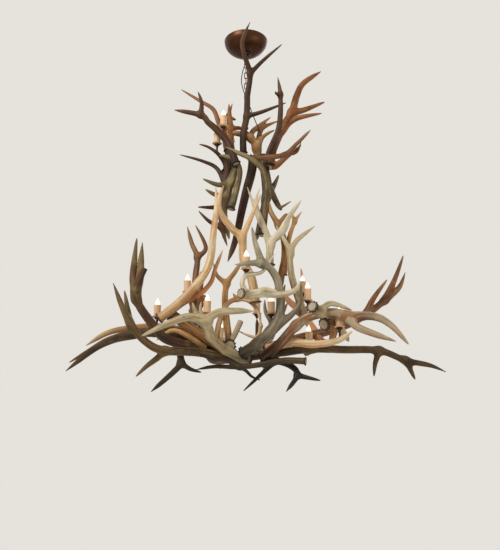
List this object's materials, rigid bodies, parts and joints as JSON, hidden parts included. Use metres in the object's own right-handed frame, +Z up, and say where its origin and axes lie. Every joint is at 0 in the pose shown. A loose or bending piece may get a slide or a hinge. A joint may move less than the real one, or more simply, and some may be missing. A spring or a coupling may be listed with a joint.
{
  "type": "antler chandelier",
  "caption": "Hanging chandelier of interlocked natural antlers with candle lamps, on a chain below a round ceiling canopy.",
  "frame": {"origin": "centre of the ceiling plate's two screw holes, on the face against the ceiling", "axes": "+Z up into the ceiling, +X to the right of the pictured view, +Y away from the viewer"},
  "size_m": [2.0431, 1.3791, 2.2219],
  "materials": {
    "antler_cream": "satin",
    "antler_tan": "satin",
    "antler_brown": "satin",
    "antler_dark": "satin",
    "dark_bronze": "brushed, waxed",
    "aged_bronze": "matte",
    "zinc_steel": "zinc plated",
    "candle_wax": "satin",
    "holder_plastic": "matte",
    "bulb_glass": "clear",
    "brown_cord": "matte"
  },
  "bodies": {
    "ceiling_mount": {"ceiling_plate": "zinc_steel", "threaded_nipple": "zinc_steel", "lock_nut": "zinc_steel", "hanging_loop": "dark_bronze"},
    "canopy": {"canopy": "dark_bronze", "canopy_collar": "dark_bronze"},
    "top_link": {"top_link": "dark_bronze"},
    "fixture": {"antler_back_dark": "antler_dark", "antler_burr_centre": "antler_tan", "antler_burr_low": "antler_tan", "antler_burr_right": "antler_tan", "antler_centre_fork": "antler_cream", "antler_dark_fork_left": "antler_brown", "antler_dark_left": "antler_dark", "antler_drop_fork": "antler_dark", "antler_drop_right": "antler_dark", "antler_grey_centre": "antler_brown", "antler_grey_swoop": "antler_brown", "antler_left_big": "antler_brown", "antler_left_dark": "antler_dark", "antler_left_far_high": "antler_cream", "antler_left_far_low": "antler_cream", "antler_left_outer": "antler_tan", "antler_left_upright": "antler_brown", "antler_light_fork": "antler_cream", "antler_lit_behind": "antler_tan", "antler_long_arch": "antler_cream", "antler_low_black": "antler_dark", "antler_olive_thick": "antler_brown", "antler_pale_front": "antler_cream", "antler_pale_level": "antler_cream", "antler_reddish": "antler_brown", "antler_right_arch": "antler_brown", "antler_right_broken": "antler_dark", "antler_right_elk": "antler_brown", "antler_right_high": "antler_brown", "antler_right_lit": "antler_tan", "antler_right_olive": "antler_dark", "antler_right_reach": "antler_brown", "antler_right_under": "antler_cream", "antler_ring_arch": "antler_cream", "antler_short_arch": "antler_cream", "antler_tall_front": "antler_brown", "antler_tan_fork": "antler_tan", "antler_thin_loop": "antler_brown", "antler_twin_right": "antler_tan", "antler_wide_fork": "antler_cream", "antlers_back_crown": "antler_brown", "antlers_back_low": "antler_brown", "antlers_back_rising": "antler_brown", "antlers_inner": "antler_brown", "candle_cups": "aged_bronze", "candle_sleeves": "candle_wax", "chain": "dark_bronze", "drip_dishes": "candle_wax", "flame_bulbs": "bulb_glass", "hanger_eye": "dark_bronze", "lamp_holders": "holder_plastic", "lamp_stems": "aged_bronze", "supply_cord": "brown_cord"}
  },
  "joints": [
    {"name": "canopy_drop", "type": "slide", "parent": "ceiling_mount", "child": "canopy", "axis": [0, 0, -1], "range_m": [0, 0.02]},
    {"name": "swing_front_back", "type": "hinge", "parent": "ceiling_mount", "child": "top_link", "pos_m": [0, 0, -0.1127], "axis": [1, 0, 0], "range_deg": [-6, 6]},
    {"name": "swing_side_to_side", "type": "hinge", "parent": "top_link", "child": "fixture", "pos_m": [0, 0, -0.1494], "axis": [0, 1, 0], "range_deg": [-6, 6]}
  ]
}
